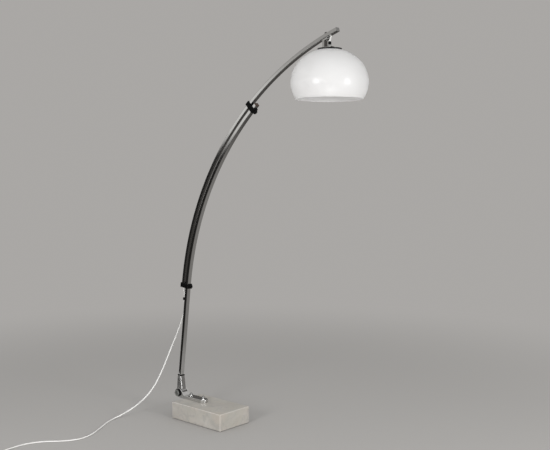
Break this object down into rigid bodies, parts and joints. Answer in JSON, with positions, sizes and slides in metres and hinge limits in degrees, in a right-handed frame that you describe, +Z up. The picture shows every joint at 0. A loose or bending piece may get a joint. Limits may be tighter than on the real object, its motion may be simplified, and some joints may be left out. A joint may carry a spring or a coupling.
{
  "type": "arc floor lamp",
  "caption": "Arc floor lamp: a stone block foot, a tilting hinge, curved flat tubes that slide in thumb clamps, a swivelling domed opal shade with a black cap, and a trailing white mains cord.",
  "frame": {"origin": "centre of the felt under the stone block, on the floor", "axes": "+Z up, +X along the block's long side towards the lamp head, -Y the side of the hand wheel"},
  "size_m": [1.1267, 1.0461, 1.6159],
  "materials": {
    "stone": "polished",
    "felt": "matte",
    "chrome": "polished",
    "steel": "satin",
    "black_plastic": "matte",
    "dark_steel": "satin",
    "wheel_ring": "satin",
    "brown_plastic": "matte",
    "black_lacquer": "gloss",
    "opal": "gloss",
    "rubber": "matte",
    "porcelain": "gloss",
    "brass": "polished",
    "bulb_glass": "frosted",
    "cord_sheath": "satin",
    "wire_sheath": "satin",
    "tie": "satin"
  },
  "bodies": {
    "base": {"marble_block": "stone", "base_felt": "felt", "foot_bar": "chrome", "base_studs": "steel", "stud_washers": "chrome", "dome_nuts": "chrome", "hinge_bolt": "steel", "hinge_washers": "steel", "free_cord": "cord_sheath", "cord_coil": "cord_sheath", "coil_tie": "tie", "cord_relief": "cord_sheath", "plug_body": "cord_sheath", "plug_pins": "brass"},
    "hand_wheel": {"hand_wheel": "black_plastic", "wheel_cap": "wheel_ring"},
    "lower_arm": {"tube_socket": "chrome", "socket_collar": "black_plastic", "socket_screws": "steel", "lower_tube": "chrome", "lower_tube_plug": "brown_plastic", "upper_clamp": "black_plastic", "cord_clip": "black_plastic", "arm_cord": "cord_sheath"},
    "upper_knob": {"upper_clamp_knob": "black_plastic", "upper_clamp_screw": "steel"},
    "upper_arm": {"upper_tube": "chrome", "tip_plug": "chrome", "lower_clamp": "black_plastic", "cord_bush": "black_plastic", "inner_cable": "cord_sheath", "head_lead": "cord_sheath", "head_bolt": "dark_steel", "swivel_washer": "steel"},
    "lower_knob": {"lower_clamp_knob": "black_plastic", "lower_clamp_screw": "steel"},
    "head": {"head_bracket": "chrome", "shade_cap": "black_lacquer", "shade": "opal", "seat_washer": "rubber", "nipple": "steel", "nipple_nuts": "steel", "cord_grip": "black_plastic", "holder_body": "black_plastic", "holder_insert": "porcelain", "holder_shell": "brass", "centre_contact": "brass", "holder_wires": "wire_sheath", "bulb_cap": "brass", "bulb_glass": "bulb_glass"}
  },
  "joints": [
    {"name": "base_tilt", "type": "hinge", "parent": "base", "child": "lower_arm", "pos_m": [-0.184, 0, 0.094], "axis": [0, 1, 0], "range_deg": [-10, 8], "deforming": ["free_cord"]},
    {"name": "wheel_turn", "type": "hinge", "parent": "base", "child": "hand_wheel", "pos_m": [-0.184, 0, 0.094], "axis": [0, -1, 0], "range_deg": [0, 360]},
    {"name": "arc_slide", "type": "hinge", "parent": "lower_arm", "child": "upper_arm", "pos_m": [1.06833, 0, 0.43039], "axis": [0, 1, 0], "range_deg": [0, 20]},
    {"name": "upper_knob_turn", "type": "hinge", "parent": "lower_arm", "child": "upper_knob", "pos_m": [0.26927, 0, 1.32566], "axis": [0.6659, 0, -0.7461], "range_deg": [0, 360]},
    {"name": "lower_knob_turn", "type": "hinge", "parent": "upper_arm", "child": "lower_knob", "pos_m": [-0.12273, 0, 0.57663], "axis": [0.9925, 0, -0.1219], "range_deg": [0, 360]},
    {"name": "shade_swivel", "type": "hinge", "parent": "upper_arm", "child": "head", "pos_m": [0.63997, 0, 1.58221], "axis": [0.3486, 0, -0.9373], "range_deg": [-45, 45], "deforming": ["head_lead"]}
  ]
}
